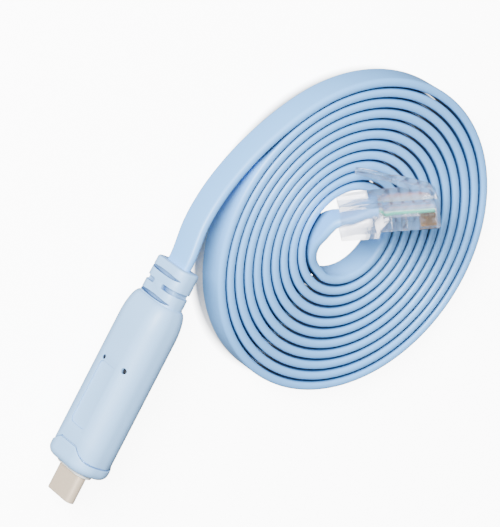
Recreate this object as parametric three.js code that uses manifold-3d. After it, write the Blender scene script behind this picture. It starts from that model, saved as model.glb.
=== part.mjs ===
// Flat console cable wound in a coil, with a USB-C housing on its outer end and a clear modular plug on its
// inner end. Millimetres, +Z up. The housing's axis is X, its shell points to -X, and the cable leaves at +X.
import * as THREE from 'three';
import { mergeVertices } from 'three/addons/utils/BufferGeometryUtils.js';
import Module from 'manifold-3d';

const wasm = await Module();
wasm.setup();
const { Manifold, Mesh: SolidMesh } = wasm;

// Clearances
const seatGap = 0.3;         // between pieces that are seated on each other
const slideGap = 0.1;        // around a flat piece that slides into a pocket
const cutOver = 1;           // how far a cutting solid runs past the face that it cuts

// Flat cable
const cableWidth = 7;
const cableThick = 2.05;
const turnPitch = 2.5;
const cableChamfer = 0.5;    // at the corners of the cable's section

// Coil, as seen from above
const coilX = 18.6;          // from the end of the strain relief to the coil's centre
const coilY = -41.2;         // from the housing's axis
const ringX = 0.48;          // the outer edge's centre, from the coil's centre
const ringY = -2.65;
const ringRadius = 37;
const boreX = 0;             // the hole's centre, from the coil's centre
const boreY = -0.3;
const boreRadius = 11.3;
const turnGroove = 0.5;      // depth of the groove between two turns
const ringSides = 44;

// USB-C shell and the pieces at its root
const shellLength = 6.3;     // what stands out of the collar
const shellWidth = 8.34;
const shellThick = 2.56;
const shellWall = 0.3;
const shellRoot = 1.6;       // how far the shell goes on inside the cap
const insulatorSetback = 0.5;
const insulatorLip = 0.42;
const mouthDepth = 5.2;
const collarWidth = 10;
const collarThick = 4.6;
const collarDepth = 0.8;
const flatLeft = 0.01;       // half of what stays flat in the middle of a fully round side

// Housing, standing on its narrow side
const housingWidth = 14.2;
const housingThick = 10.1;
const housingCorner = 4.3;
const housingLength = 39.9;  // from the cap's front to the strain relief
const neckWidth = 11.2;
const neckThick = 6.3;
const neckCorner = 2.7;
const shoulderLength = 6.6;
const capProud = 0.25;
const capEdgeAtSide = 2.7;   // the cap's rear edge on the narrow sides, from the cap's front
const capEdgeRise = 3.1;     // how much further back that edge is on the middle of the wide faces
const capRounding = 1.9;
const panelStart = 8.7;      // from the cap's front
const panelLength = 14.7;
const panelWidth = 5.4;
const panelCorner = 1;
const panelDepth = 0.25;
const indicatorAlong = 24.1; // from the cap's front
const smallIndicator = 0.9;
const smallIndicatorDrop = 2.2;   // below the axis
const largeIndicator = 1.4;
const largeIndicatorRise = 4.7;   // above the axis
const indicators = [
  { name: 'indicator_small', diameter: smallIndicator, height: -smallIndicatorDrop },
  { name: 'indicator_large', diameter: largeIndicator, height: largeIndicatorRise },
];
const indicatorDepth = 1.6;
const indicatorSunk = 0.15;

// Strain relief: three rings on a core, with slots between them
const reliefLength = 8.4;
const reliefWidth = 10.8;    // at the cable's end
const reliefThick = 5.9;
const reliefCorner = 2.5;
const reliefRounding = 0.4;  // at the edge round the cable
const reliefCore = 1.1;      // depth of the slots in the wide faces
const slotLong = 1;          // slot size along the cable
const ringLong = 1.75;
const firstSlot = 0.55;      // from the relief's start to the middle of the first slot
const lensReach = 0.86;      // share of the width that a long slot takes
const bridgeWidth = 2.6;     // what is left in the middle of a pair of short slots

// Modular plug, in its own frame: X from rear to nose, Y towards the latch, Z across
const plugLength = 21.4;
const plugWidth = 11.68;
const plugThick = 6.6;
const plugHeel = 1.3;        // how far the rear stands out past the contact side
const plugHeelLength = 8;
const plugHeelSlope = 0.4;
const plugRearThick = 6.1;
const noseBevel = 0.5;
const cableRoomDepth = 9.4;
const cableRoomLow = -0.4;
const cableRoomHigh = 5.1;
const cableRoomWidth = 8.6;
const cableMouthLow = -0.9;  // the room widens to this at the plug's rear
const cableMouthLong = 3;
const cableEndStart = 0.2;
const cableEndStop = 8.5;
const cableEndHeight = 2.3;  // the middle of the cable at the plug's rear, from the contact side
const clampStart = 8.7;      // the clamp pressed onto the cable leaves a sloped pocket in the contact side
const clampSlopeLong = 1.9;
const clampStop = 11.2;
const clampDeep = 2;
const clampWidth = 7;
const clampWall = 0.9;
const wireCount = 8;
const wirePitch = 1.016;
const wireDiameter = 0.72;
const wireStart = 8.8;
const wireEnd = 20.4;
const wireHeight = 3.5;
const wireRoomThick = 1.5;
const bladeLong = 3.4;
const bladeTall = 2.3;
const bladeThick = 0.36;
const bladeFromNose = 0.7;
const bladeSunk = 0.25;
const lockPocketStart = 13.3;
const lockPocketLong = 1.1;
const lockPocketDeep = 2;
const latchRoot = 19.4;      // along the plug
const latchLength = 15.2;
const latchRise = 4.9;       // of the free end above the body
const latchThick = 1.1;
const latchWidth = 6.1;
const latchTipWidth = 3.2;
const latchShoulder = 6.4;   // from the root to where the latch narrows
const latchFoot = 0.9;       // half the length of the latch's foot on the body

// Where the plug lies, from the coil's centre, and how it is turned, in degrees
const plugAt = new THREE.Vector3(1.55, 7.55, 10.9);
const plugHeading = -52.2;
const plugNoseUp = 32.1;
const plugRoll = -16;

// The cable's way from the coil to the strain relief
const tailPath = [
  [54.2, -5.85, 3.7],
  [49.6, -4, 3.9],
  [43.1, -1.65, 4.8],
  [36.3, -0.3, 5.9],
  [32, -0.05, 6.9],
];
const tailStraight = 1.3;    // how far the cable runs straight out of the strain relief
const tailSteps = 12;

// The cable's way from the hole's wall to the plug, from the coil's centre
const leadPath = [
  [-9.34, 2.2, 3.6],
  [-7.92, 5.25, 3.8],
  [-5.55, 7.62, 4.8],
  [-2.6, 9.05, 6.3],
  [-0.2, 9.5, 7.9],
  [1.64, 9.6, 9.1],
];
const leadSteps = 14;
const leadEndGap = 0.8;      // more than seatGap, because the cable comes into the plug at an angle

// Places along the housing's axis, from the shell's tip, with the origin halfway along the whole connector
const capFront = shellLength + collarDepth;
const reliefStart = capFront + housingLength;
const connectorLength = reliefStart + reliefLength;
const alongAxis = (fromTip) => fromTip - connectorLength / 2;
const axisHeight = housingWidth / 2 + capProud;
const coilCentre = new THREE.Vector3(connectorLength / 2 + coilX, coilY, 0);

const colours = {
  cable: new THREE.MeshStandardMaterial({ color: 0xbcd3e8, roughness: 0.55 }),
  housing: new THREE.MeshStandardMaterial({ color: 0xc4d8ea, roughness: 0.5 }),
  shell: new THREE.MeshStandardMaterial({ color: 0xf2dfcf, roughness: 0.25, metalness: 1 }),
  collar: new THREE.MeshStandardMaterial({ color: 0xd9dad6, roughness: 0.45 }),
  dark: new THREE.MeshStandardMaterial({ color: 0x1d2126, roughness: 0.4 }),
  clear: new THREE.MeshStandardMaterial({ color: 0xe6ebf2, roughness: 0.1 }),
  gold: new THREE.MeshStandardMaterial({ color: 0xc89b3c, roughness: 0.25, metalness: 1 }),
  wire: new THREE.MeshStandardMaterial({ color: 0xe9dcd6, roughness: 0.5 }),
};

// Solids: a closed geometry becomes a solid for cutting, and the result becomes a geometry again.
function toSolid(geometry) {
  const bare = geometry.clone();
  for (const name of Object.keys(bare.attributes)) {
    if (name !== 'position') {
      bare.deleteAttribute(name);
    }
  }
  const merged = mergeVertices(bare, 1e-5);
  return new Manifold(new SolidMesh({
    numProp: 3,
    vertProperties: new Float32Array(merged.attributes.position.array),
    triVerts: new Uint32Array(merged.index.array),
  }));
}

function toGeometry(solid) {
  const mesh = solid.getMesh();
  const geometry = new THREE.BufferGeometry();
  geometry.setAttribute('position', new THREE.BufferAttribute(new Float32Array(mesh.vertProperties), 3));
  geometry.setIndex(new THREE.BufferAttribute(new Uint32Array(mesh.triVerts), 1));
  return geometry;
}

function cut(geometry, cutters) {
  let solid = toSolid(geometry);
  for (const cutter of cutters) {
    solid = solid.subtract(toSolid(cutter));
  }
  return toGeometry(solid);
}

function box(lowX, highX, lowY, highY, lowZ, highZ) {
  const geometry = new THREE.BoxGeometry(highX - lowX, highY - lowY, highZ - lowZ);
  return geometry.translate((lowX + highX) / 2, (lowY + highY) / 2, (lowZ + highZ) / 2);
}

// A rectangle with round corners, across its centre.
function roundedRectangle(width, height, corner) {
  const shape = new THREE.Shape();
  const x = width / 2;
  const y = height / 2;
  shape.moveTo(x, -y + corner);
  shape.lineTo(x, y - corner);
  shape.absarc(x - corner, y - corner, corner, 0, Math.PI / 2);
  shape.lineTo(-x + corner, y);
  shape.absarc(-x + corner, y - corner, corner, Math.PI / 2, Math.PI);
  shape.lineTo(-x, -y + corner);
  shape.absarc(-x + corner, -y + corner, corner, Math.PI, 1.5 * Math.PI);
  shape.lineTo(x - corner, -y);
  shape.absarc(x - corner, -y + corner, corner, 1.5 * Math.PI, 2 * Math.PI);
  return shape;
}

// The same rectangle as a closed ring of points, the same number for every size, so that rings can be lofted.
function sectionRing(width, thick, corner, arcSteps) {
  const ring = [];
  for (let quarter = 0; quarter < 4; quarter += 1) {
    const signY = quarter === 0 || quarter === 3 ? 1 : -1;
    const signZ = quarter < 2 ? 1 : -1;
    const middleY = signY * (thick / 2 - corner);
    const middleZ = signZ * (width / 2 - corner);
    for (let step = 0; step <= arcSteps; step += 1) {
      const angle = ((quarter + step / arcSteps) * Math.PI) / 2;
      ring.push([middleY + corner * Math.cos(angle), middleZ + corner * Math.sin(angle)]);
    }
  }
  return ring;
}

// A closed body through rings of points, counter-clockwise as seen from the last ring.
function skin(rings) {
  const around = rings[0].length;
  const faces = [];
  for (let s = 0; s < rings.length - 1; s += 1) {
    for (let i = 0; i < around; i += 1) {
      const a = s * around + i;
      const b = s * around + ((i + 1) % around);
      faces.push(a, b, b + around, a, b + around, a + around);
    }
  }
  const last = (rings.length - 1) * around;
  for (let i = 1; i < around - 1; i += 1) {
    faces.push(0, i + 1, i);
    faces.push(last, last + i, last + i + 1);
  }
  const points = rings.flat().flatMap((point) => point.toArray());
  const geometry = new THREE.BufferGeometry();
  geometry.setAttribute('position', new THREE.Float32BufferAttribute(points, 3));
  geometry.setIndex(faces);
  return geometry;
}

// A closed body through rounded rectangles that stand across X.
function loft(stations, arcSteps) {
  return skin(stations.map(({ x, width, thick, corner }) => sectionRing(width, thick, corner, arcSteps)
    .map(([y, z]) => new THREE.Vector3(x, y, z))));
}

// A rounded rectangle pulled along X, its width standing along Z.
function bar(lowX, highX, width, thick, corner, curveSegments = 6) {
  const geometry = new THREE.ExtrudeGeometry(roundedRectangle(width, thick, corner), {
    depth: highX - lowX, bevelEnabled: false, curveSegments,
  });
  geometry.rotateY(Math.PI / 2);
  return geometry.translate(lowX, 0, 0);
}

const part = new THREE.Group();

function addMesh(parent, name, geometry, material, position = null) {
  const mesh = new THREE.Mesh(geometry, material);
  mesh.name = name;
  if (position) {
    mesh.position.copy(position);
  }
  parent.add(mesh);
}

// Everything on the housing's axis is drawn around that axis and lifted, so that the cap lies on the floor.
const connector = new THREE.Group();
connector.position.set(0, 0, axisHeight);
part.add(connector);

function makeShell() {
  const inner = 2 * shellWall;
  const shell = bar(alongAxis(0), alongAxis(capFront + shellRoot), shellWidth, shellThick, shellThick / 2 - flatLeft);
  const hollow = bar(
    alongAxis(-cutOver), alongAxis(capFront + shellRoot + cutOver),
    shellWidth - inner, shellThick - inner, (shellThick - inner) / 2 - flatLeft,
  );
  addMesh(connector, 'usb_c_shell', cut(shell, [hollow]), colours.shell);
}

function makeInsulator() {
  const width = shellWidth - 2 * (shellWall + slideGap);
  const thick = shellThick - 2 * (shellWall + slideGap);
  const block = bar(alongAxis(insulatorSetback), alongAxis(capFront + shellRoot), width, thick, thick / 2 - flatLeft);
  const mouth = box(
    alongAxis(insulatorSetback - cutOver), alongAxis(insulatorSetback + mouthDepth),
    -thick / 2 + insulatorLip, thick / 2 - insulatorLip,
    -width / 2 + insulatorLip, width / 2 - insulatorLip,
  );
  addMesh(connector, 'usb_c_insulator', cut(block, [mouth]), colours.dark);
}

function shellPassage(lowX, highX) {
  const width = shellWidth + 2 * slideGap;
  const thick = shellThick + 2 * slideGap;
  return bar(lowX, highX, width, thick, thick / 2 - flatLeft);
}

function makeCollar() {
  const collar = bar(alongAxis(shellLength), alongAxis(capFront) - slideGap, collarWidth, collarThick,
    collarThick / 2 - flatLeft);
  const passage = shellPassage(alongAxis(shellLength - cutOver), alongAxis(capFront + cutOver));
  addMesh(connector, 'nose_collar', cut(collar, [passage]), colours.collar);
}

// The line where the cap ends on the housing: a bell, furthest back on the middle of the wide faces and level
// at the narrow sides. It is drawn as a flat shape seen along Y and cut through the whole thickness.
function capOutline(shift) {
  const edge = alongAxis(capFront + capEdgeAtSide) + shift;
  const half = housingWidth / 2 + capProud;
  const front = alongAxis(capFront) - cutOver;
  const outline = new THREE.Shape();
  const bellSteps = 20;
  outline.moveTo(front, -half - cutOver);
  outline.lineTo(edge, -half - cutOver);
  for (let i = 0; i <= bellSteps; i += 1) {
    const share = (2 * i) / bellSteps - 1;
    outline.lineTo(edge + (capEdgeRise / 2) * (1 + Math.cos(Math.PI * share)), half * share);
  }
  outline.lineTo(edge, half + cutOver);
  outline.lineTo(front, half + cutOver);
  const thick = housingThick + 2 * (capProud + cutOver);
  const geometry = new THREE.ExtrudeGeometry(outline, { depth: thick, bevelEnabled: false });
  geometry.rotateX(Math.PI / 2);
  return geometry.translate(0, thick / 2, 0);
}

function makeCap() {
  const width = housingWidth + 2 * capProud;
  const thick = housingThick + 2 * capProud;
  const corner = housingCorner + capProud;
  const stations = [];
  const roundSteps = 4;
  for (let i = 0; i <= roundSteps; i += 1) {
    const angle = (i / roundSteps) * (Math.PI / 2);
    const inset = capRounding * (1 - Math.sin(angle));
    stations.push({
      x: alongAxis(capFront) + capRounding * (1 - Math.cos(angle)),
      width: width - 2 * inset,
      thick: thick - 2 * inset,
      corner: corner - inset,
    });
  }
  const rear = alongAxis(capFront + capEdgeAtSide + capEdgeRise) + cutOver;
  stations.push({ x: rear, width, thick, corner });
  const solid = toSolid(loft(stations, 6)).intersect(toSolid(capOutline(0)));
  const pocket = shellPassage(alongAxis(capFront - cutOver), alongAxis(capFront + shellRoot) + seatGap);
  addMesh(connector, 'front_cap', toGeometry(solid.subtract(toSolid(pocket))), colours.housing);
}

function makeHousing() {
  const stations = [{
    x: alongAxis(capFront + capEdgeAtSide) - cutOver,
    width: housingWidth, thick: housingThick, corner: housingCorner,
  }];
  const shoulderSteps = 7;
  for (let i = 0; i <= shoulderSteps; i += 1) {
    const angle = (i / shoulderSteps) * (Math.PI / 2);
    const narrowing = 1 - Math.cos(angle);
    stations.push({
      x: alongAxis(reliefStart - shoulderLength * (1 - Math.sin(angle))),
      width: housingWidth - narrowing * (housingWidth - neckWidth),
      thick: housingThick - narrowing * (housingThick - neckThick),
      corner: housingCorner - narrowing * (housingCorner - neckCorner),
    });
  }
  const face = housingThick / 2;
  const panel = new THREE.ExtrudeGeometry(roundedRectangle(panelLength, panelWidth, panelCorner), {
    depth: panelDepth + cutOver, bevelEnabled: false, curveSegments: 4,
  });
  panel.rotateX(-Math.PI / 2);
  panel.translate(alongAxis(capFront + panelStart + panelLength / 2), face - panelDepth, 0);
  const cutters = [capOutline(seatGap), panel];
  for (const { diameter, height } of indicators) {
    const radius = diameter / 2 + slideGap;
    const hole = new THREE.CylinderGeometry(radius, radius, indicatorDepth + cutOver, 20);
    hole.translate(alongAxis(capFront + indicatorAlong), face - indicatorDepth / 2 + cutOver / 2, height);
    cutters.push(hole);
  }
  addMesh(connector, 'usb_housing', cut(loft(stations, 6), cutters), colours.housing);
}

function indicatorSurface(height) {
  const past = Math.abs(height) - (housingWidth / 2 - housingCorner);
  const drop = past > 0 ? housingCorner - Math.sqrt(housingCorner ** 2 - past ** 2) : 0;
  return housingThick / 2 - drop;
}

function makeIndicators() {
  for (const { name, diameter, height } of indicators) {
    const low = housingThick / 2 - indicatorDepth + slideGap;
    const high = indicatorSurface(height) - indicatorSunk;
    const lens = new THREE.CylinderGeometry(diameter / 2, diameter / 2, high - low, 20);
    lens.translate(0, (low + high) / 2, 0);
    addMesh(connector, name, lens, colours.dark,
      new THREE.Vector3(alongAxis(capFront + indicatorAlong), 0, height));
  }
}

// A slot across both wide faces with pointed ends, as deep as reliefCore.
function longSlot(fromStart) {
  const reach = (reliefWidth * lensReach) / 2;
  const half = slotLong / 2;
  const lens = new THREE.Shape();
  lens.moveTo(0, -reach);
  lens.quadraticCurveTo(2 * half, 0, 0, reach);
  lens.quadraticCurveTo(-2 * half, 0, 0, -reach);
  const depth = reliefCore + cutOver;
  return [1, -1].map((side) => {
    const slot = new THREE.ExtrudeGeometry(lens, { depth, bevelEnabled: false, curveSegments: 8 });
    slot.rotateX(Math.PI / 2);
    const outer = side > 0 ? neckThick / 2 + cutOver : -neckThick / 2 + reliefCore;
    return slot.translate(alongAxis(reliefStart + fromStart), outer, 0);
  });
}

// Two short slots, one from each narrow side, with a bridge left between them.
function shortSlots(fromStart) {
  const low = alongAxis(reliefStart + fromStart) - slotLong / 2;
  const high = low + slotLong;
  const slots = [];
  for (const face of [1, -1]) {
    for (const side of [1, -1]) {
      const inner = side * (bridgeWidth / 2);
      const outer = side * (neckWidth / 2 + cutOver);
      const bottom = face * (neckThick / 2 - reliefCore);
      const top = face * (neckThick / 2 + cutOver);
      slots.push(box(low, high, Math.min(bottom, top), Math.max(bottom, top),
        Math.min(inner, outer), Math.max(inner, outer)));
    }
  }
  return slots;
}

function makeRelief() {
  const start = alongAxis(reliefStart) + seatGap;
  const end = alongAxis(connectorLength);
  const stations = [
    { x: start, width: neckWidth, thick: neckThick, corner: neckCorner },
    { x: end - reliefRounding, width: reliefWidth, thick: reliefThick, corner: reliefCorner },
    {
      x: end,
      width: reliefWidth - 2 * reliefRounding,
      thick: reliefThick - 2 * reliefRounding,
      corner: reliefCorner - reliefRounding,
    },
  ];
  const pitch = slotLong + ringLong;
  const slots = [
    ...longSlot(firstSlot),
    ...shortSlots(firstSlot + pitch),
    ...longSlot(firstSlot + 2 * pitch),
  ];
  addMesh(connector, 'strain_relief', cut(loft(stations, 5), slots), colours.housing);
}

makeShell();
makeInsulator();
makeCollar();
makeCap();
makeHousing();
makeIndicators();
makeRelief();

// The coil: one turned ring whose two ends show a groove between each turn and the next, cut by the hole,
// which lies off the ring's centre. Turns are drawn inwards until the hole takes them all.
function makeCoil() {
  const holeShift = new THREE.Vector2(boreX - ringX, boreY - ringY);
  const innermost = boreRadius - holeShift.length();
  const turns = Math.ceil((ringRadius - innermost) / turnPitch);
  const top = [];
  const bottom = [];
  for (let turn = 0; turn < turns; turn += 1) {
    const outer = ringRadius - turn * turnPitch;
    const inner = outer - turnPitch;
    top.push([outer, cableWidth - turnGroove]);
    top.push([outer - turnGroove, cableWidth]);
    top.push([inner + turnGroove, cableWidth]);
    bottom.push([outer, turnGroove]);
    bottom.push([outer - turnGroove, 0]);
    bottom.push([inner + turnGroove, 0]);
  }
  const last = ringRadius - turns * turnPitch;
  const outline = [
    ...top,
    [last, cableWidth - turnGroove],
    [last, turnGroove],
    ...bottom.reverse(),
  ];
  outline.push(outline[0]);
  const ring = new THREE.LatheGeometry(outline.map(([r, z]) => new THREE.Vector2(r, z)), ringSides);
  ring.rotateX(Math.PI / 2);
  const depth = cableWidth + 2 * cutOver;
  const bore = new THREE.CylinderGeometry(boreRadius, boreRadius, depth, ringSides);
  bore.rotateX(Math.PI / 2);
  bore.translate(holeShift.x, holeShift.y, cableWidth / 2);
  const place = coilCentre.clone().add(new THREE.Vector3(ringX, ringY, 0));
  addMesh(part, 'cable_coil', cut(ring, [bore]), colours.cable, place);
}

// The flat cable along a list of points. Its width stands upright at the start and is rolled at the end.
function cableAlong(points, steps, endRoll) {
  const half = cableWidth / 2;
  const thin = cableThick / 2;
  const section = [
    [thin, -half + cableChamfer],
    [thin, half - cableChamfer],
    [thin - cableChamfer, half],
    [-thin + cableChamfer, half],
    [-thin, half - cableChamfer],
    [-thin, -half + cableChamfer],
    [-thin + cableChamfer, -half],
    [thin - cableChamfer, -half],
  ];
  const curve = new THREE.CatmullRomCurve3(points);
  const upright = new THREE.Vector3(0, 0, 1);
  const rings = [];
  for (let step = 0; step <= steps; step += 1) {
    const along = step / steps;
    const forward = curve.getTangentAt(along);
    const left = new THREE.Vector3().crossVectors(upright, forward).normalize();
    left.applyAxisAngle(forward, endRoll * along);
    const up = new THREE.Vector3().crossVectors(forward, left);
    const middle = curve.getPointAt(along);
    rings.push(section.map(([across, high]) => middle.clone()
      .addScaledVector(left, across)
      .addScaledVector(up, high)));
  }
  return skin(rings);
}

// The plug's frame, and a point of it in the part's frame
const plug = new THREE.Group();
plug.position.copy(coilCentre).add(plugAt);
plug.rotation.set(
  THREE.MathUtils.degToRad(plugRoll),
  THREE.MathUtils.degToRad(-plugNoseUp),
  THREE.MathUtils.degToRad(plugHeading),
  'ZYX',
);
plug.updateMatrixWorld(true);
part.add(plug);

function fromPlug(x, y, z) {
  return new THREE.Vector3(x, y, z).applyMatrix4(plug.matrixWorld);
}

function makeTail() {
  const points = tailPath.map(([x, y, z]) => new THREE.Vector3(x, y, z));
  const end = connectorLength / 2 + seatGap;
  points.push(new THREE.Vector3(end + tailStraight, 0, axisHeight));
  points.push(new THREE.Vector3(end, 0, axisHeight));
  addMesh(part, 'cable_tail', cableAlong(points, tailSteps, 0), colours.cable);
}

function makeLead() {
  const points = leadPath.map(([x, y, z]) => new THREE.Vector3(x, y, z).add(coilCentre));
  points.push(fromPlug(cableEndStart - leadEndGap, cableEndHeight, 0));
  addMesh(part, 'cable_lead', cableAlong(points, leadSteps, plug.rotation.x), colours.cable);
}

// A flat outline seen along Z, as thick as lowZ to highZ.
function slab(outline, lowZ, highZ) {
  const shape = new THREE.Shape(outline.map(([x, y]) => new THREE.Vector2(x, y)));
  const geometry = new THREE.ExtrudeGeometry(shape, { depth: highZ - lowZ, bevelEnabled: false });
  return geometry.translate(0, 0, lowZ);
}

// The plug's locking latch: an arm that rises from the nose end towards the rear, narrower at its free end.
function makeLatch() {
  const tip = latchRoot - latchLength;
  const top = plugThick + latchRise + latchThick;
  const arm = slab([
    [latchRoot + latchFoot, plugThick - seatGap],
    [latchRoot, plugThick + latchThick],
    [tip, top],
    [tip, top - latchThick],
    [latchRoot - latchFoot, plugThick],
    [latchRoot - latchFoot, plugThick - seatGap],
  ], -latchWidth / 2, latchWidth / 2);
  const narrowing = (latchWidth - latchTipWidth) / 2;
  const wide = latchWidth / 2;
  const seenFromAbove = new THREE.Shape([
    new THREE.Vector2(latchRoot + cutOver, -wide),
    new THREE.Vector2(latchRoot + cutOver, wide),
    new THREE.Vector2(latchRoot - latchShoulder, wide),
    new THREE.Vector2(latchRoot - latchShoulder - narrowing, wide - narrowing),
    new THREE.Vector2(tip - cutOver, wide - narrowing),
    new THREE.Vector2(tip - cutOver, -wide + narrowing),
    new THREE.Vector2(latchRoot - latchShoulder - narrowing, -wide + narrowing),
    new THREE.Vector2(latchRoot - latchShoulder, -wide),
  ]);
  const mould = new THREE.ExtrudeGeometry(seenFromAbove, { depth: top + cutOver, bevelEnabled: false });
  mould.rotateX(Math.PI / 2);
  mould.translate(0, top + cutOver, 0);
  return toSolid(arm).intersect(toSolid(mould));
}

const wireAcross = (wire) => (wire - (wireCount - 1) / 2) * wirePitch;
const bladeStart = plugLength - bladeFromNose - bladeLong;

function makePlugBody() {
  const half = plugWidth / 2;
  const body = slab([
    [0, -plugHeel],
    [plugHeelLength, -plugHeel],
    [plugHeelLength + plugHeelSlope, 0],
    [plugLength - noseBevel, 0],
    [plugLength, noseBevel],
    [plugLength, plugThick - noseBevel],
    [plugLength - noseBevel, plugThick],
    [plugHeelLength, plugThick],
    [0, plugRearThick],
  ], -half, half);
  const roomHalf = cableRoomWidth / 2;
  const cableRoom = slab([
    [-cutOver, cableMouthLow],
    [0, cableMouthLow],
    [cableMouthLong, cableRoomLow],
    [clampStart - clampWall, cableRoomLow],
    [cableRoomDepth, clampDeep - clampWall],
    [cableRoomDepth, cableRoomHigh],
    [-cutOver, cableRoomHigh],
  ], -roomHalf, roomHalf);
  const wireRoomLow = wireHeight - wireRoomThick / 2;
  const wireRoom = box(cableRoomDepth - cutOver, wireEnd + seatGap, wireRoomLow, wireRoomLow + wireRoomThick,
    -roomHalf, roomHalf);
  const clampPocket = slab([
    [clampStart, -cutOver],
    [clampStop, -cutOver],
    [clampStop, clampDeep],
    [clampStart + clampSlopeLong, clampDeep],
    [clampStart, 0],
  ], -clampWidth / 2, clampWidth / 2);
  const lockPocket = box(lockPocketStart, lockPocketStart + lockPocketLong, -cutOver, lockPocketDeep,
    -clampWidth / 2, clampWidth / 2);
  const cutters = [cableRoom, wireRoom, clampPocket, lockPocket];
  const slotHalf = bladeThick / 2 + slideGap;
  for (let wire = 0; wire < wireCount; wire += 1) {
    const middle = wireAcross(wire);
    cutters.push(box(bladeStart - slideGap, bladeStart + bladeLong + slideGap, -cutOver, wireHeight,
      middle - slotHalf, middle + slotHalf));
  }
  const whole = toGeometry(toSolid(body).add(makeLatch()));
  addMesh(plug, 'plug_body', cut(whole, cutters), colours.clear);
}

// Inside the plug the cable is pressed over to the latch side.
function makeCableEnd() {
  const thin = cableThick / 2;
  const wide = cableWidth / 2;
  const pressed = cableRoomHigh - seatGap - thin;
  const end = slab([
    [cableEndStart, cableEndHeight - thin],
    [cableEndStop, pressed - thin],
    [cableEndStop, pressed + thin],
    [cableEndStart, cableEndHeight + thin],
  ], -wide, wide);
  addMesh(plug, 'cable_end', end, colours.cable);
}

function makeWires() {
  for (let wire = 0; wire < wireCount; wire += 1) {
    const middle = wireAcross(wire);
    const length = wireEnd - wireStart;
    const conductor = new THREE.CylinderGeometry(wireDiameter / 2, wireDiameter / 2, length, 10);
    conductor.rotateZ(Math.PI / 2);
    conductor.translate(wireStart + length / 2, wireHeight, middle);
    addMesh(plug, `conductor_${wire + 1}`, conductor, colours.wire);
    const blade = box(bladeStart, bladeStart + bladeLong, bladeSunk, bladeSunk + bladeTall,
      middle - bladeThick / 2, middle + bladeThick / 2);
    addMesh(plug, `contact_${wire + 1}`, blade, colours.gold);
  }
}

makeCoil();
makeTail();
makeLead();
makePlugBody();
makeCableEnd();
makeWires();

export default part;
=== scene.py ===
from math import cos, pi, radians, sin, sqrt

import bpy
import numpy as np
from mathutils import Euler, Matrix, Vector


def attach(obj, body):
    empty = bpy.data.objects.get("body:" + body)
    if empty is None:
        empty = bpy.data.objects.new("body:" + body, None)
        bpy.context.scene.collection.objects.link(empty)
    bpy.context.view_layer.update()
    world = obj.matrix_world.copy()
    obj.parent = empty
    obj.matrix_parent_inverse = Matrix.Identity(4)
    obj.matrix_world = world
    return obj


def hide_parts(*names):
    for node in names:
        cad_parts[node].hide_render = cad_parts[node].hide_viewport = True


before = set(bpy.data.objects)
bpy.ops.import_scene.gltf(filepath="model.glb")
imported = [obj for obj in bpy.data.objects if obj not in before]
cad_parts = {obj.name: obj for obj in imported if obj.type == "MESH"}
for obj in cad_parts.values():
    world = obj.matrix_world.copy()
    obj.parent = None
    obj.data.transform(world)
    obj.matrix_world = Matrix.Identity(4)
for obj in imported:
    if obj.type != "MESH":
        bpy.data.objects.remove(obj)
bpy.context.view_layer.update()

# Every size below is in millimetres in the model's own frame.
MM = 0.001

# Flat cable
CABLE_WIDTH = 7.0
CABLE_THICK = 2.05
CABLE_CORNER = 0.93
CABLE_STEP = 1.6

# Coil, a spiral whose middle drifts as it winds inwards
COIL_MIDDLE = (46.3, -41.2)
TURN_PITCH = 2.5
OUTER_LINE = 37.48
DRIFT = (-0.29, -2.51)
DRIFT_TURNS = 12
FIRST_ANGLE = 111.5
SPIRAL_FROM = 56
SPIRAL_TO = 3896
SPIRAL_STEP = 12
LIFT = 0.1

# The connector's axis and its stations from the shell's tip
AXIS_HEIGHT = 7.35
HALF_LENGTH = 27.7
SHELL_WIDTH = 8.34
SHELL_THICK = 2.56
SHELL_WALL = 0.3
SHELL_LENGTH = 6.3
CAP_FRONT = 7.1
RELIEF_START = 47.0
RELIEF_END = 55.4
HOUSING_WIDTH = 14.2
HOUSING_THICK = 10.1
HOUSING_CORNER = 4.3
NECK_WIDTH = 11.2
NECK_THICK = 6.3
NECK_CORNER = 2.7
SHOULDER = 6.6
CAP_PROUD = 0.25
CAP_EDGE = 2.7
CAP_RISE = 3.1
CAP_ROUNDING = 1.9
CAP_LIP = 0.22
SHELL_LIP = 0.22
COLLAR_WIDTH = 10
COLLAR_THICK = 4.6
COLLAR_CORNER = 2.25

# The label recess in the housing's wide faces
PANEL_AT = 23.15
PANEL_LENGTH = 14.7
PANEL_WIDTH = 5.4
PANEL_CORNER = 1.0
PANEL_DEPTH = 0.34

# The indicators: diameter and height of each, their station, and the holes they sit in
INDICATORS = {"indicator_small": (0.9, AXIS_HEIGHT - 2.2), "indicator_large": (1.15, AXIS_HEIGHT + 4.7)}
INDICATOR_AT = 31.2
INDICATOR_CLEARANCE = 0.06
INDICATOR_SUNK = 0.15
INDICATOR_DOME = 0.12
HOLE_DEPTH = 1.5

# The strain relief's slots, placed from its start. A slot's numbers are its width, length, corner and steps.
SLOT_DEPTH = 1.25
LENS_SLOTS_AT = (0.62, 6.05)
LENS_HALF = 0.5
LENS_REACH = 5.3
SHORT_SLOTS_AT = 3.3
SHORT_SLOT = (1.25, 6.4, 0.5, 5)
SHORT_SLOT_OUT = 1.35 + 3.2
NOTCH = (1.25, 3.2, 0.5, 5)
NOTCH_OUT = 6.2
SLOT_NARROWING = 0.9

# How far a cutting shape reaches past the face that it cuts
CUTTER_PAST = 1

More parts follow.
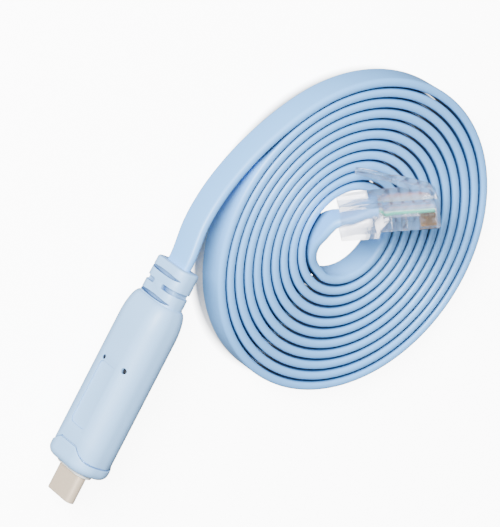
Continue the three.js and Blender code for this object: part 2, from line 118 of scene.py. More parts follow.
# The plug's frame: X from rear to nose, Y from the contact side to the latch, Z across
PLUG_AT = (COIL_MIDDLE[0] + 1.55, COIL_MIDDLE[1] + 7.55, 10.9)
PLUG_TURN = (-16.0, -32.1, -52.2)
PLUG_LENGTH = 21.4
PLUG_WIDTH = 11.68
PLUG_THICK = 6.6
WIRE_COUNT = 8
WIRE_PITCH = 1.016
WIRE_THICK = 0.74
WIRE_HEIGHT = 3.5
WIRE_SIDES = 14
CROWDED_PITCH = 0.78
ROOM_HALF = 4.3
POCKET_HALF = 3.5
CONTACT_SLOT_HALF = 0.27
BLADE_HALF = 0.17
LATCH_HALF_THICK = 0.5
JACKET_END = 8.5
JACKET_LOW = 2.3
JACKET_HEIGHT = 3.78
JACKET_STATIONS = (-0.6, 1.5, 3.6, 6.0, JACKET_END)
PRESS_LENGTH = 7


def along(from_tip):
    return from_tip - HALF_LENGTH


# Camera at the photograph's angle and distance
def set_camera():
    right = Vector((0.456226, -0.681382, 0.572343))
    up = Vector((0.879746, 0.248650, -0.405242))
    back = Vector((0.133811, 0.688398, 0.712883))
    place = back * 680 - right * 17.476 - up * 8.716
    place += Vector((COIL_MIDDLE[0], COIL_MIDDLE[1], 0))
    data = bpy.data.cameras.new("camera")
    data.lens = 211.58
    data.sensor_width = 36
    data.clip_start = 0.01
    data.clip_end = 20
    camera = bpy.data.objects.new("camera", data)
    turn = Matrix((right, up, back)).transposed().to_4x4()
    camera.matrix_world = Matrix.Translation(place * MM) @ turn
    bpy.context.scene.collection.objects.link(camera)
    bpy.context.scene.camera = camera


set_camera()


# Shader maths
class Signal:
    """A socket's value, so that arithmetic on it adds Math nodes."""

    def __init__(self, finish, socket):
        self.finish = finish
        self.socket = socket

    def maths(self, operation, *values):
        sockets = {}
        for index, value in enumerate(values):
            sockets[index] = value
        return self.finish.node("Math", {"operation": operation}, sockets)

    def __add__(self, other):
        return self.maths("ADD", self, other)

    def __sub__(self, other):
        return self.maths("SUBTRACT", self, other)

    def __rsub__(self, other):
        return self.maths("SUBTRACT", other, self)

    def __mul__(self, other):
        return self.maths("MULTIPLY", self, other)

    __radd__ = __add__
    __rmul__ = __mul__

    def clamped(self, low, high):
        return self.finish.node("Clamp", {}, {"Value": self, "Min": low, "Max": high})

    def power(self, exponent):
        return self.maths("POWER", self, exponent)


class Finish:
    """A material with one Principled shader. Constants are set on the shader's own sockets."""

    def __init__(self, name, colour, roughness, **constants):
        self.material = bpy.data.materials.new(name)
        self.material.use_nodes = True
        self.tree = self.material.node_tree
        self.shader = self.tree.nodes["Principled BSDF"]
        self.material.diffuse_color = (*colour, 1)
        self.shader.inputs["Base Color"].default_value = (*colour, 1)
        self.shader.inputs["Roughness"].default_value = roughness
        for words, value in constants.items():
            self.shader.inputs[words.replace("_", " ")].default_value = value

    def node(self, kind, settings, sockets, output=0):
        made = self.tree.nodes.new("ShaderNode" + kind)
        for words, value in settings.items():
            if words == "stops":
                self.set_stops(made.color_ramp, value)
            else:
                setattr(made, words, value)
        for key, value in sockets.items():
            if isinstance(value, Signal):
                self.tree.links.new(value.socket, made.inputs[key])
            else:
                made.inputs[key].default_value = value
        return Signal(self, made.outputs[output])

    def set_stops(self, ramp, stops):
        while len(ramp.elements) < len(stops):
            ramp.elements.new(1)
        for element, (place, colour) in zip(ramp.elements, stops):
            element.position = place
            element.color = (*colour, 1)

    def place(self, stretch=(1, 1, 1)):
        where = self.node("TexCoord", {}, {}, "Object")
        return self.node("Mapping", {}, {"Vector": where, "Scale": stretch})

    def noise(self, where, scale, detail=3, rough=0.55):
        sockets = {"Vector": where, "Scale": scale, "Detail": detail, "Roughness": rough}
        return self.node("TexNoise", {}, sockets, "Fac")

    def blend(self, amount, first, second):
        settings = {"data_type": "RGBA"}
        return self.node("Mix", settings, {0: amount, 6: first, 7: second}, 2)

    def painted_shade_mask(self, reach):
        """1 on open faces and 0 deep in a groove, looked for within a reach. It masks where shade is painted
        into grooves.
        """
        settings = {"samples": 8, "only_local": True}
        open_sky = self.node("AmbientOcclusion", settings, {"Distance": reach}, "AO")
        return ((open_sky - 0.25) * 2.1).clamped(0, 1)

    def feed(self, words, signal):
        self.tree.links.new(signal.socket, self.shader.inputs[words])

    def bump(self, height, strength, depth):
        sockets = {"Height": height, "Strength": strength, "Distance": depth}
        self.feed("Normal", self.node("Bump", {}, sockets, "Normal"))


def shade(colour, amount):
    return tuple(min(1, part * amount) for part in colour) + (1,)


def soft_plastic(name, colour, grain, grain_depth, roughness, recess=None):
    """Moulded satin plastic: clouded colour, a fine moulded grain, and gloss that varies a little. A recess
    colour, if given, is painted shade deep in recesses.
    """
    finish = Finish(name, colour, roughness, IOR=1.5)
    where = finish.place()
    cloud = finish.noise(where, 60, 4)
    fine = finish.noise(where, grain, 5, 0.65)
    clouded = finish.blend(cloud, shade(colour, 0.965), shade(colour, 1.03))
    # Painted shade: the recess colour darkens the surface deep in recesses.
    if recess:
        clouded = finish.blend(finish.painted_shade_mask(1.5 * MM), (*recess, 1), clouded)
    finish.feed("Base Color", clouded)
    finish.feed("Roughness", (cloud * 0.1 + fine * 0.08 + (roughness - 0.09)).clamped(0.05, 1))
    finish.bump(fine, 0.35, grain_depth)
    return finish


CABLE_BLUE = (0.16, 0.43, 0.86)
HOUSING_BLUE = (0.28, 0.51, 0.82)
# Painted shade: the jacket's colour deep between two turns, where shade falls
GAP_SHADE_BLUE = (0.012, 0.05, 0.16)


def cable_finish():
    """Extruded jacket: the grain runs along the cable, from its own map of place across and along."""
    finish = Finish("cable_jacket", CABLE_BLUE, 0.42, IOR=1.5)
    where = finish.node("UVMap", {"uv_map": "jacket"}, {}, "UV")
    lines = finish.node("Mapping", {}, {"Vector": where, "Scale": (900, 12, 1)})
    streaks = finish.noise(lines, 1, 3)
    cloud = finish.noise(finish.place(), 45, 3)
    fine = finish.noise(finish.place(), 2600, 3, 0.6)
    clouded = finish.blend(cloud, shade(CABLE_BLUE, 0.97), shade(CABLE_BLUE, 1.03))
    # Painted shade: the jacket turns deep navy where it lies deep in a gap between turns.
    finish.feed("Base Color", finish.blend(finish.painted_shade_mask(2.0 * MM), (*GAP_SHADE_BLUE, 1), clouded))
    finish.feed("Roughness", (streaks * 0.1 + cloud * 0.08 + 0.33).clamped(0.05, 1))
    finish.bump(streaks * 0.7 + fine * 0.3, 0.3, 0.00006)
    return finish


def metal(name, colour, roughness, scratch, metallic):
    finish = Finish(name, colour, roughness, Metallic=metallic)
    lines = finish.noise(finish.place((60, 900, 900)), 1, 4)
    fine = finish.noise(finish.place(), 1500, 4)
    finish.feed("Base Color", finish.blend(fine, shade(colour, 0.95), shade(colour, 1.04)))
    finish.feed("Roughness", (lines * scratch + fine * 0.06 + (roughness - 0.08)).clamped(0.03, 1))
    finish.bump(lines, 0.25, 0.00002)
    return finish


def clear_plastic():
    """Clear moulded plastic with faint flow marks and a few rubbed places."""
    finish = Finish(
        "clear_plastic", (0.95, 0.92, 0.94), 0.04, IOR=1.5, Transmission_Weight=0.96, Alpha=0.7
    )
    where = finish.place()
    flow = finish.noise(where, 160, 3)
    fine = finish.noise(where, 1400, 3)
    finish.feed("Base Color", finish.blend(flow, (0.93, 0.90, 0.93, 1), (0.99, 0.97, 0.98, 1)))
    finish.feed("Roughness", (flow.power(3) * 0.16 + 0.015).clamped(0.01, 1))
    finish.bump(flow * 0.8 + fine * 0.2, 0.2, 0.0001)
    return finish


# The floor glows evenly as a light table does, with painted shade: no glow in a ring under the turns, so the
# floor is dark there. The camera sees its glow, straight or through clear plastic, and the glow isn't cast
# on the pieces or mirrored in them.
FLOOR_GLOW = 9.0
FLOOR_SHADE_RING = (13, 35.5)


def floor_finish():
    finish = Finish("floor_paper", (0.9, 0.9, 0.9), 0.7, IOR=1.3, Emission_Strength=FLOOR_GLOW)
    grain = finish.noise(finish.place(), 700, 3)
    finish.feed("Base Color", finish.blend(grain, (0.895, 0.895, 0.895, 1), (0.91, 0.91, 0.91, 1)))
    finish.feed("Roughness", grain * 0.1 + 0.65)
    finish.bump(grain, 0.05, 0.0001)
    middle = [place * MM for place in (*COIL_MIDDLE, 0)]
    where = finish.node("TexCoord", {}, {}, "Object")
    reach = finish.node("VectorMath", {"operation": "DISTANCE"}, {0: where, 1: middle}, "Value")
    inner, outer = (edge * MM for edge in FLOOR_SHADE_RING)
    soft = 500
    past_inner = ((reach - inner) * soft).clamped(0, 1)
    past_outer = ((reach - outer) * soft).clamped(0, 1)
    # Painted shade: the glow is off between the ring's inner and outer edge, under the turns.
    glow = 1 - past_inner + past_outer
    finish.feed("Emission Color", finish.blend(glow, (0, 0, 0, 1), (1, 1, 1, 1)))
    return finish


JACKET = cable_finish()
# Painted shade: dark navy deep in the blue plastic's label recess, indicator holes and slots.
MOULDED = soft_plastic("housing_plastic", HOUSING_BLUE, 2400, 0.00005, 0.46, (0.01, 0.05, 0.18))
COLLAR = soft_plastic("collar_plastic", (0.70, 0.71, 0.68), 1800, 0.00004, 0.4)
BLACK = soft_plastic("black_plastic", (0.012, 0.014, 0.02), 2000, 0.00002, 0.22)
SHELL = metal("shell_plating", (1.0, 0.80, 0.60), 0.26, 0.08, 0.6)
GOLD = metal("contact_gold", (0.17, 0.09, 0.02), 0.28, 0.08, 0.85)
CLEAR = clear_plastic()


# Mesh making
def skin(rings, ends=True, wrap=False):
    """Vertices and faces of a body through rings, counter-clockwise as seen from the last ring."""
    around = len(rings[0])
    points = [tuple(point) for ring in rings for point in ring]
    faces = []
    last = len(rings) - 1
    for s in range(len(rings) if wrap else last):
        after = (s + 1) % len(rings)
        for i in range(around):
            j = (i + 1) % around
            faces.append((s * around + i, s * around + j, after * around + j, after * around + i))
    if ends:
        faces.append(tuple(reversed(range(around))))
        faces.append(tuple(last * around + i for i in range(around)))
    return points, faces


def prism(outline, low, high, axis):
    """A flat outline pulled from low to high along an axis, as points and faces."""
    rings = []
    for level in (low, high):
        if axis == "Y":
            rings.append([(x, level, -y) for x, y in outline])
        else:
            rings.append([(x, y, level) for x, y in outline])
    return skin(rings)


def rounded(width, height, corner, steps):
    """A rectangle with round corners, counter-clockwise from its right side."""
    ring = []
    for quarter, (sx, sy) in enumerate(((1, 1), (-1, 1), (-1, -1), (1, -1))):
        for step in range(steps + 1):
            turn = (quarter + step / steps) * pi / 2
            ring.append(
                (
                    sx * (width / 2 - corner) + corner * cos(turn),
                    sy * (height / 2 - corner) + corner * sin(turn),
                )
            )
    return ring


def make_object(name, points, faces, matrix=None):
    mesh = bpy.data.meshes.new(name)
    place = np.array(points, dtype=float)
    if matrix is not None:
        turn = np.array(matrix.to_3x3())
        place = place @ turn.T + np.array(matrix.translation)
    mesh.from_pydata((place * MM).tolist(), [], faces)
    mesh.update()
    made = bpy.data.objects.new(name, mesh)
    bpy.context.scene.collection.objects.link(made)
    return made


def add_modifier(made, kind, **settings):
    modifier = made.modifiers.new(kind.lower(), kind)
    for words, value in settings.items():
        setattr(modifier, words, value)


def carve(made, cutters):
    for cutter in cutters:
        add_modifier(made, "BOOLEAN", operation="DIFFERENCE", object=cutter, solver="EXACT")


def soften(made, width, segments, angle):
    add_modifier(
        made,
        "BEVEL",
        width=width * MM,
        segments=segments,
        limit_method="ANGLE",
        angle_limit=radians(angle),
    )


def bake(made, cutters=()):
    """Turns the modifiers' result into the piece's own mesh and takes the cutting shapes away."""
    bpy.context.view_layer.update()
    graph = bpy.context.evaluated_depsgraph_get()
    mesh = bpy.data.meshes.new_from_object(made.evaluated_get(graph))
    made.modifiers.clear()
    old = made.data
    made.data = mesh
    bpy.data.meshes.remove(old)
    for cutter in cutters:
        bpy.data.objects.remove(cutter)


def finish_piece(made, finish, slot, *stands_for, sharp=40):
    mesh = made.data
    mesh.materials.clear()
    mesh.materials.append(finish.material)
    mesh.polygons.foreach_set("material_index", [0] * len(mesh.polygons))
    mesh.polygons.foreach_set("use_smooth", [True] * len(mesh.polygons))
    mesh.set_sharp_from_angle(angle=radians(sharp))
    mesh.update()
    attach(made, "root")
    if stands_for:
        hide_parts(*stands_for)
    return made


# Repeating a shape by nodes
def row_tree():
    """Copies of a shape in a row along Z, centred on where the shape was drawn."""
    tree = bpy.data.node_groups.new("row_across", "GeometryNodeTree")
    sockets = tree.interface
    sockets.new_socket("Shape", in_out="INPUT", socket_type="NodeSocketGeometry")
    sockets.new_socket("Count", in_out="INPUT", socket_type="NodeSocketInt")
    sockets.new_socket("Pitch", in_out="INPUT", socket_type="NodeSocketFloat")
    sockets.new_socket("Finish", in_out="INPUT", socket_type="NodeSocketMaterial")
    sockets.new_socket("Row", in_out="OUTPUT", socket_type="NodeSocketGeometry")

    def add(kind, values, **settings):
        made = tree.nodes.new(kind)
        for words, value in settings.items():
            setattr(made, words, value)
        for key, value in values.items():
            if isinstance(value, bpy.types.NodeSocket):
                tree.links.new(value, made.inputs[key])
            else:
                made.inputs[key].default_value = value
        return made.outputs

    given = add("NodeGroupInput", {})
    gaps = add("ShaderNodeMath", {0: given["Count"], 1: 1}, operation="SUBTRACT")[0]
    length = add("ShaderNodeMath", {0: gaps, 1: given["Pitch"]}, operation="MULTIPLY")[0]
    first = add("ShaderNodeMath", {0: length, 1: -0.5}, operation="MULTIPLY")[0]
    start = add("ShaderNodeCombineXYZ", {"Z": first})[0]
    step = add("ShaderNodeCombineXYZ", {"Z": given["Pitch"]})[0]
    spacing = {"Count": given["Count"], "Start Location": start, "Offset": step}
    line = add("GeometryNodeMeshLine", spacing)[0]
    row = add("GeometryNodeInstanceOnPoints", {"Points": line, "Instance": given["Shape"]})[0]
    real = add("GeometryNodeRealizeInstances", {"Geometry": row})[0]
    done = add("GeometryNodeSetMaterial", {"Geometry": real, "Material": given["Finish"]})[0]
    add("NodeGroupOutput", {"Row": done})
    return tree


ROW = row_tree()


def repeat_across(made, count, pitch, material):
    """Adds the row's modifier. bake() then makes the row the piece's own mesh."""
    modifier = made.modifiers.new("row_across", "NODES")
    modifier.node_group = ROW
    values = {"Count": count, "Pitch": pitch * MM, "Finish": material}
    for socket in ROW.interface.items_tree:
        if socket.in_out == "INPUT" and socket.name in values:
            modifier[socket.identifier] = values[socket.name]


# The plug's place
PLUG = Matrix.Translation(PLUG_AT) @ Euler([radians(a) for a in PLUG_TURN], "XYZ").to_matrix().to_4x4()
PLUG_METRES = Matrix.Translation(PLUG.translation * MM) @ PLUG.to_3x3().to_4x4()


def from_plug(x, y, z):
    return tuple(PLUG @ Vector((x, y, z)))


# The cable's route, from the strain relief through the coil to the plug
TAIL = [
    (27.4, 0, AXIS_HEIGHT),
    (28.0, 0, AXIS_HEIGHT),
    (29.3, 0, AXIS_HEIGHT),
    (32.0, -0.05, 6.9),
    (36.3, -0.3, 5.9),
    (43.1, -1.65, 4.8),
    (49.6, -4.0, 3.9),
    (54.2, -5.85, 3.7),
    (58.6, -7.98, 3.62),
    (62.9, -10.4, 3.6),
]
LEAD = [
    (-9.75, 2.3, 3.6),
    (-8.1, 5.35, 3.8),
    (-5.6, 7.75, 4.75),
    (-2.6, 9.1, 6.25),
    (-0.2, 9.5, 7.9),
    (1.64, 9.6, 9.1),
]


def turn_point(angle):
    turns = angle / 360
    radius = OUTER_LINE - TURN_PITCH * turns
    left = 1 - turns / DRIFT_TURNS
    direction = radians(FIRST_ANGLE - angle)
    lift = LIFT * (1 + sin(turns * 5.1) * sin(direction * 2 + turns))
    return (
        COIL_MIDDLE[0] + DRIFT[0] * left + radius * cos(direction),
        COIL_MIDDLE[1] + DRIFT[1] * left + radius * sin(direction),
        CABLE_WIDTH / 2 + lift,
    )


def cable_route():
    route = list(TAIL)
    steps = int((SPIRAL_TO - SPIRAL_FROM) / SPIRAL_STEP)
    for i in range(steps + 1):
        route.append(turn_point(SPIRAL_FROM + (SPIRAL_TO - SPIRAL_FROM) * i / steps))
    lead_from = len(route)
    for x, y, z in LEAD:
        route.append((COIL_MIDDLE[0] + x, COIL_MIDDLE[1] + y, z))
    for x in JACKET_STATIONS:
        share = max(0, min(1, x / PRESS_LENGTH))
        pressed = share * share * (3 - 2 * share)
        route.append(from_plug(x, JACKET_LOW + (JACKET_HEIGHT - JACKET_LOW) * pressed, 0))
    return np.array(route), lead_from


def smooth_line(points, step):
    """Points about a step apart on a smooth curve through the given ones, with its direction at each."""
    gaps = np.linalg.norm(np.diff(points, axis=0), axis=1)
    at = np.concatenate([[0], np.cumsum(gaps)])
    slopes = np.diff(points, axis=0) / gaps[:, None]
    tangents = np.vstack([slopes[:1], np.zeros((len(points) - 2, 3)), slopes[-1:]])
    before, after = gaps[:-1, None], gaps[1:, None]
    tangents[1:-1] = (slopes[:-1] * after + slopes[1:] * before) / (before + after)
    places = np.linspace(0, at[-1], int(at[-1] / step) + 1)
    index = np.clip(np.searchsorted(at, places, side="right") - 1, 0, len(gaps) - 1)
    long = gaps[index][:, None]
    u = ((places - at[index])[:, None]) / long
    a, b = points[index], points[index + 1]
    ta, tb = tangents[index] * long, tangents[index + 1] * long
    line = (
        (2 * u**3 - 3 * u**2 + 1) * a
        + (u**3 - 2 * u**2 + u) * ta
        + (-2 * u**3 + 3 * u**2) * b
        + (u**3 - u**2) * tb
    )
    ahead = np.gradient(line, axis=0)
    ahead /= np.linalg.norm(ahead, axis=1)[:, None]
    return line, ahead, places, at


def make_cable():
    route, lead_from = cable_route()
    line, ahead, places, at = smooth_line(route, CABLE_STEP)
    roll_from, roll_to = at[lead_from], at[-len(JACKET_STATIONS) - 1]
    roll = np.clip((places - roll_from) / (roll_to - roll_from), 0, 1) * radians(PLUG_TURN[0])
    left = np.cross([0, 0, 1], ahead)
    left /= np.linalg.norm(left, axis=1)[:, None]
    up = np.cross(ahead, left)
    turn_left = left * np.cos(roll)[:, None] + up * np.sin(roll)[:, None]
    turn_up = up * np.cos(roll)[:, None] - left * np.sin(roll)[:, None]
    section = np.array(rounded(CABLE_THICK, CABLE_WIDTH, CABLE_CORNER, 6))
    rings = (
        line[:, None]
        + turn_left[:, None] * section[None, :, :1]
        + turn_up[:, None] * section[None, :, 1:]
    )
    points, faces = skin(rings)
    cable = make_object("cable", points, faces)
    add_jacket_map(cable.data, section, places)
    finish_piece(cable, JACKET, "cable_jacket", "cable_coil", "cable_tail", "cable_lead", "cable_end")
    return cable, line


def add_jacket_map(mesh, section, places):
    """Place across the jacket and along it, in metres, for every corner of every face."""
    around = len(section)
    across = np.concatenate([[0], np.cumsum(np.linalg.norm(np.diff(section, axis=0), axis=1))])
    layer = mesh.uv_layers.new(name="jacket")
    corners = np.zeros(len(mesh.loops), dtype=int)
    mesh.loops.foreach_get("vertex_index", corners)
    place = np.stack([across[corners % around], places[corners // around]], axis=1) * MM
    layer.data.foreach_set("uv", place.astype(np.float32).ravel())


cable, cable_line = make_cable()


# The connector
def across_axis(ring, x):
    """A ring of (across, high) points, stood across the connector's axis."""
    return [(x, y, AXIS_HEIGHT + z) for y, z in ring]


def make_housing():
    full = rounded(HOUSING_THICK, HOUSING_WIDTH, HOUSING_CORNER, 12)
    rings = []
    for inset, past in ((0.6, -0.6), (0.6, 0.22), (0.14, 0.24), (0.04, 0.29), (0, 0.4)):
        ring = rounded(HOUSING_THICK - 2 * inset, HOUSING_WIDTH - 2 * inset, HOUSING_CORNER - inset, 12)
        rings.append(
            [(along(cap_end(z) + past), y, AXIS_HEIGHT + w) for (y, w), (_, z) in zip(ring, full)]
        )
    rings += [across_axis(full, along(from_tip)) for from_tip in (14.2, 33.2, 38.5)]
    steps = 22
    for i in range(steps + 1):
        angle = i / steps * pi / 2
        narrowing = 1 - cos(angle)
        ring = rounded(
            HOUSING_THICK - narrowing * (HOUSING_THICK - NECK_THICK),
            HOUSING_WIDTH - narrowing * (HOUSING_WIDTH - NECK_WIDTH),
            HOUSING_CORNER - narrowing * (HOUSING_CORNER - NECK_CORNER),
            12,
        )
        rings.append(across_axis(ring, along(RELIEF_START - SHOULDER * (1 - sin(angle)))))
    housing = make_object("usb_housing_body", *skin(rings))
    face = HOUSING_THICK / 2
    flat = rounded(PANEL_LENGTH, PANEL_WIDTH, PANEL_CORNER, 6)
    panel = [(x + along(PANEL_AT), y - AXIS_HEIGHT) for x, y in flat]
    shape = prism(panel, face - PANEL_DEPTH, face + CUTTER_PAST, "Y")
    cutters = [make_object("panel_cutter", *shape)]
    for diameter, height in INDICATORS.values():
        radius = diameter / 2 + INDICATOR_CLEARANCE
        hole = [
            (along(INDICATOR_AT) + radius * cos(a * pi / 12), -height + radius * sin(a * pi / 12))
            for a in range(24)
        ]
        shape = prism(hole, face - HOLE_DEPTH, face + CUTTER_PAST, "Y")
        cutters.append(make_object("hole_cutter", *shape))
    carve(housing, cutters)
    soften(housing, 0.06, 3, 42)
    add_modifier(housing, "WEIGHTED_NORMAL", keep_sharp=True)
    bake(housing, cutters)
    finish_piece(housing, MOULDED, "blue_plastic", "usb_housing", sharp=60)


def make_indicators():
    for name, (diameter, height) in INDICATORS.items():
        past = abs(height - AXIS_HEIGHT) - (HOUSING_WIDTH / 2 - HOUSING_CORNER)
        drop = HOUSING_CORNER - sqrt(HOUSING_CORNER**2 - past**2) if past > 0 else 0
        high = HOUSING_THICK / 2 - drop - INDICATOR_SUNK
        rings = []
        for share in (1, 0.97, 0.85, 0.6, 0.3, 0.02):
            radius = diameter / 2 * share
            level = high - INDICATOR_DOME * (1 - sqrt(1 - share**2))
            rings.append([(radius * cos(a), level, radius * sin(a)) for a in np.arange(0, 2 * pi, pi / 12)])
        base = [(x, high - 1, z) for x, _, z in rings[0]]
        placed = [
            [(along(INDICATOR_AT) + x, y, height - z) for x, y, z in ring] for ring in [base, *rings]
        ]
        lens = make_object(name + "_lens", *skin(placed))
        finish_piece(lens, BLACK, "black_plastic", name)


def cap_end(z):
    """How far back the cap reaches at a height from the axis: furthest on the middle of the wide faces."""
    share = min(1, abs(z) / (HOUSING_WIDTH / 2 + CAP_PROUD))
    return CAP_FRONT + CAP_EDGE + CAP_RISE * (0.5 + 0.5 * cos(pi * share))


def make_cap():
    rings = []
    width = HOUSING_WIDTH + 2 * CAP_PROUD
    thick = HOUSING_THICK + 2 * CAP_PROUD
    corner = HOUSING_CORNER + CAP_PROUD

    def section(inset):
        return rounded(thick - 2 * inset, width - 2 * inset, corner - min(inset, corner - 0.5), 14)

    outer = section(0)
    for i in range(9):
        angle = i / 8 * pi / 2
        x = CAP_FRONT + CAP_ROUNDING * (1 - cos(angle))
        rings.append(across_axis(section(CAP_ROUNDING * (1 - sin(angle))), along(x)))
    start = CAP_FRONT + CAP_ROUNDING
    for share in (0.3, 0.6, 0.85, 1):
        rings.append(
            [
                (along(start + (cap_end(z) - CAP_LIP - start) * share), y, AXIS_HEIGHT + z)
                for y, z in outer
            ]
        )
    for i in range(1, 6):
        angle = i / 5 * pi / 2
        drop = CAP_LIP * (1 - cos(angle))
        ring = section(drop)
        rings.append(
            [
                (along(cap_end(z) - CAP_LIP * (1 - sin(angle))), y, AXIS_HEIGHT + w)
                for (y, w), (_, z) in zip(ring, outer)
            ]
        )
    rings.append([(x, y * 0.97, AXIS_HEIGHT + (z - AXIS_HEIGHT) * 0.97) for x, y, z in rings[-1]])
    cap = make_object("usb_front_cap", *skin(rings))
    finish_piece(cap, MOULDED, "blue_plastic", "front_cap", sharp=50)


def make_shell():
    def section(inset):
        return rounded(
            SHELL_THICK - 2 * inset, SHELL_WIDTH - 2 * inset, SHELL_THICK / 2 - inset - 0.02, 12
        )

    rings = [across_axis(section(0), along(CAP_FRONT + 1))]
    rings.append(across_axis(section(0), along(0.3)))
    for i in range(1, 6):
        angle = i / 5 * pi / 2
        ring = section(SHELL_LIP * (1 - cos(angle)))
        rings.append(across_axis(ring, along(SHELL_LIP * (1 - sin(angle)))))
    rings.append(across_axis(section(SHELL_WALL), along(0.08)))
    rings.append(across_axis(section(SHELL_WALL), along(CAP_FRONT + 1)))
    rings.reverse()
    shell = make_object("usb_shell", *skin(rings, ends=False, wrap=True))
    finish_piece(shell, SHELL, "connector_shell", "usb_c_shell")


def make_collar():
    rings = []
    front = SHELL_LENGTH
    for inset, x in (
        (0.5, front - 0.05),
        (0.16, front),
        (0.04, front + 0.1),
        (0, front + 0.25),
        (0, CAP_FRONT + 0.2),
    ):
        ring = rounded(COLLAR_THICK - 2 * inset, COLLAR_WIDTH - 2 * inset, COLLAR_CORNER - inset, 12)
        rings.append(across_axis(ring, along(x)))
    collar = make_object("usb_collar", *skin(rings))
    finish_piece(collar, COLLAR, "collar_plastic", "nose_collar")


def lens_outline(middle, half, reach):
    """A slot pointed at both ends, seen on the wide face."""
    outline = []
    for i in range(16):
        share = -1 + 2 * i / 15
        outline.append((middle + half * (1 - share**2) ** 0.6, share * reach - AXIS_HEIGHT))
    for i in range(14, 0, -1):
        share = -1 + 2 * i / 15
        outline.append((middle - half * (1 - share**2) ** 0.6, share * reach - AXIS_HEIGHT))
    return outline


def short_slot(sizes, out):
    """A short round-ended slot beside the relief's middle line, seen on the wide face."""
    middle = along(RELIEF_START + SHORT_SLOTS_AT)
    return [(middle + x * SLOT_NARROWING, -AXIS_HEIGHT + out + z) for x, z in rounded(*sizes)]


def make_relief():
    rings = []
    for from_tip, width, thick, corner in (
        (RELIEF_START - 0.05, NECK_WIDTH, NECK_THICK, NECK_CORNER),
        (RELIEF_END - 0.55, 10.85, 5.95, 2.5),
        (RELIEF_END - 0.3, 10.75, 5.85, 2.45),
        (RELIEF_END - 0.1, 10.5, 5.6, 2.3),
        (RELIEF_END, 10.0, 5.1, 2.05),
    ):
        rings.append(across_axis(rounded(thick, width, corner, 10), along(from_tip)))
    relief = make_object("cable_relief", *skin(rings))
    face = NECK_THICK / 2
    cutters = []
    for side in (1, -1):
        low, high = sorted((side * (face - SLOT_DEPTH), side * (face + CUTTER_PAST)))
        for middle in LENS_SLOTS_AT:
            outline = lens_outline(along(RELIEF_START + middle), LENS_HALF, LENS_REACH)
            cutters.append(make_object("slot_cutter", *prism(outline, low, high, "Y")))
        for end in (1, -1):
            slot = short_slot(SHORT_SLOT, end * SHORT_SLOT_OUT)
            cutters.append(make_object("slot_cutter", *prism(slot, low, high, "Y")))
    for end in (1, -1):
        notch = short_slot(NOTCH, end * NOTCH_OUT)
        through = prism(notch, -face - CUTTER_PAST, face + CUTTER_PAST, "Y")
        cutters.append(make_object("slot_cutter", *through))
    carve(relief, cutters)
    soften(relief, 0.14, 3, 40)
    add_modifier(relief, "WEIGHTED_NORMAL", keep_sharp=True)
    bake(relief, cutters)
    finish_piece(relief, MOULDED, "blue_plastic", "strain_relief", sharp=60)


make_housing()
make_indicators()
make_cap()
make_shell()
make_collar()
make_relief()


# The modular plug
def make_plug_body():
    half = PLUG_WIDTH / 2
    outline = [
        (0, -1.3),
        (8.0, -1.3),
        (8.4, 0),
        (PLUG_LENGTH - 0.5, 0),
        (PLUG_LENGTH, 0.5),
        (PLUG_LENGTH, PLUG_THICK - 0.5),
        (PLUG_LENGTH - 0.5, PLUG_THICK),
        (8.0, PLUG_THICK),
        (0, 6.1),
    ]
    body = make_object("plug_shell", *prism(outline, -half, half, "Z"), PLUG)
    latch = latch_shape()
    add_modifier(body, "BOOLEAN", operation="UNION", object=latch, solver="EXACT")
    cutters = [latch]
    room = [(-1, -0.9), (0, -0.9), (3, -0.4), (7.8, -0.4), (9.4, 1.1), (9.4, 5.1), (-1, 5.1)]
    clamp = [(8.7, -1), (11.2, -1), (11.2, 2), (10.6, 2), (8.7, 0)]
    lock = [(13.3, -1), (14.4, -1), (14.4, 2), (13.3, 2)]
    wires = [(8.4, 2.75), (20.7, 2.75), (20.7, 4.25), (8.4, 4.25)]
    rooms = [(room, ROOM_HALF), (wires, ROOM_HALF), (clamp, POCKET_HALF), (lock, POCKET_HALF)]
    hollows = []
    for shape, reach in rooms:
        hollows.append(make_object("room_cutter", *prism(shape, -reach, reach, "Z"), PLUG))
    slot = [(17.2, -1), (20.8, -1), (20.8, 3.0), (17.2, 3.0)]
    slots = make_object("slot_cutter", *prism(slot, -CONTACT_SLOT_HALF, CONTACT_SLOT_HALF, "Z"))
    repeat_across(slots, WIRE_COUNT, WIRE_PITCH, CLEAR.material)
    bake(slots)
    slots.data.transform(PLUG_METRES)
    hollows.append(slots)
    carve(body, hollows)
    cutters += hollows
    soften(body, 0.12, 2, 40)
    bake(body, cutters)
    finish_piece(body, CLEAR, "clear_plastic", "plug_body", sharp=35)
    return body


def latch_shape():
    """The latch: an arm from the nose end, wide at its root and narrow at its free tip."""
    line = [
        (20.3, 6.3, 3.05),
        (20.15, 7.0, 3.05),
        (19.4, 7.6, 3.05),
        (13.2, 9.7, 3.05),
        (11.8, 10.15, 1.6),
        (5.6, 12.2, 1.6),
        (4.2, 12.55, 1.45),
    ]
    rings = []
    for i, (x, y, half) in enumerate(line):
        before, after = line[max(0, i - 1)], line[min(len(line) - 1, i + 1)]
        run = Vector((after[0] - before[0], after[1] - before[1], 0)).normalized()
        off = Vector((run.y, -run.x, 0)) * LATCH_HALF_THICK
        rings.append(
            [
                (x + off.x, y + off.y, -half),
                (x - off.x, y - off.y, -half),
                (x - off.x, y - off.y, half),
                (x + off.x, y + off.y, half),
            ]
        )
    return make_object("latch_shape", *skin(rings), PLUG)


WIRE_COLOURS = [
    (0.74, 0.30, 0.24),
    (0.80, 0.42, 0.34),
    (0.82, 0.70, 0.58),
    (0.72, 0.76, 0.78),
    (0.50, 0.62, 0.72),
    (0.74, 0.76, 0.76),
    (0.60, 0.76, 0.72),
    (0.02, 0.42, 0.30),
]


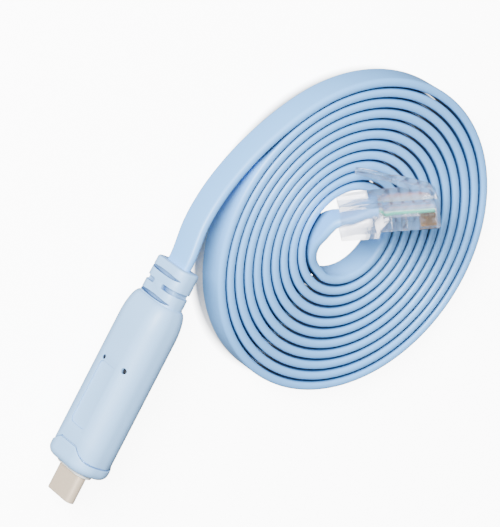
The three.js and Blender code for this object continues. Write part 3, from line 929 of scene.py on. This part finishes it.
def make_wires():
    made = []
    middle = (WIRE_COUNT - 1) / 2
    for wire, colour in enumerate(WIRE_COLOURS):
        spread = (wire - middle) * WIRE_PITCH
        crowded = (wire - middle) * CROWDED_PITCH
        way = np.array(
            [
                (JACKET_END - 0.4, JACKET_HEIGHT, crowded),
                (JACKET_END + 0.3, JACKET_HEIGHT + 0.1, crowded),
                (9.9, 3.1, crowded * 1.05),
                (11.3, WIRE_HEIGHT, spread * 0.98),
                (12.6, WIRE_HEIGHT, spread),
                (16.0, WIRE_HEIGHT, spread),
                (20.4, WIRE_HEIGHT, spread),
            ]
        )
        line, ahead, _, _ = smooth_line(way, 0.3)
        side = np.cross(ahead, [0, 0, 1])
        side /= np.linalg.norm(side, axis=1)[:, None]
        other = np.cross(ahead, side)
        turn = np.arange(WIRE_SIDES) * 2 * pi / WIRE_SIDES
        rings = (
            line[:, None]
            + side[:, None] * np.cos(turn)[None, :, None] * WIRE_THICK / 2
            + other[:, None] * np.sin(turn)[None, :, None] * WIRE_THICK / 2
        )
        name = f"conductor_{wire + 1}"
        piece = make_object(name + "_lead", *skin(rings), PLUG)
        finish = soft_plastic(f"conductor_colour_{wire + 1}", colour, 1500, 0.00003, 0.35)
        made.append(finish_piece(piece, finish, "conductor_insulation", name))
    return made


BLADE = [
    (17.3, 0.35),
    (17.5, 0.15),
    (20.5, 0.15),
    (20.7, 0.35),
    (20.7, 0.75),
    (19.6, 1.1),
    (19.6, 1.75),
    (20.6, 2.1),
    (20.45, 3.15),
    (20.1, 2.45),
    (19.35, 2.45),
    (19.0, 3.15),
    (18.65, 2.45),
    (17.9, 2.45),
    (17.55, 3.15),
    (17.4, 2.1),
    (18.4, 1.75),
    (18.4, 1.1),
    (17.3, 0.75),
]


def make_contacts():
    """One pressed blade for each conductor, repeated across the plug."""
    blades = make_object("contact_blades", *prism(BLADE, -BLADE_HALF, BLADE_HALF, "Z"))
    soften(blades, 0.04, 2, 30)
    repeat_across(blades, WIRE_COUNT, WIRE_PITCH, GOLD.material)
    bake(blades)
    blades.data.transform(PLUG_METRES)
    names = [f"contact_{wire + 1}" for wire in range(WIRE_COUNT)]
    return [finish_piece(blades, GOLD, "contact_gold", *names)]


plug_pieces = [make_plug_body()] + make_wires() + make_contacts()

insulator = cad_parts["usb_c_insulator"]
insulator.data.materials.clear()
insulator.data.materials.append(BLACK.material)

[tuple(point) for point in cable_line * MM]


# Floor and light
def make_stage():
    half = 3000
    floor = make_object(
        "floor",
        [(-half, -half, -0.02), (half, -half, -0.02), (half, half, -0.02), (-half, half, -0.02)],
        [(0, 1, 2, 3)],
    )
    floor.data.materials.append(floor_finish().material)
    floor.visible_diffuse = False
    floor.visible_glossy = False


def add_light(name, place, aim, size, power):
    data = bpy.data.lights.new(name, "AREA")
    data.shape = "DISK"
    data.size = size
    data.energy = power
    light = bpy.data.objects.new(name, data)
    away = Vector(place) - Vector(aim)
    light.matrix_world = Matrix.Translation(place) @ away.to_track_quat("Z", "Y").to_matrix().to_4x4()
    bpy.context.scene.collection.objects.link(light)


def set_world(strength):
    world = bpy.data.worlds.new("studio")
    world.use_nodes = True
    world.node_tree.nodes["Background"].inputs["Color"].default_value = (1, 1, 1, 1)
    world.node_tree.nodes["Background"].inputs["Strength"].default_value = strength
    bpy.context.scene.world = world


make_stage()
set_world(strength=0.42)
add_light("key", place=(0.3, 0.95, 0.62), aim=(0.03, -0.02, 0), size=0.5, power=58)
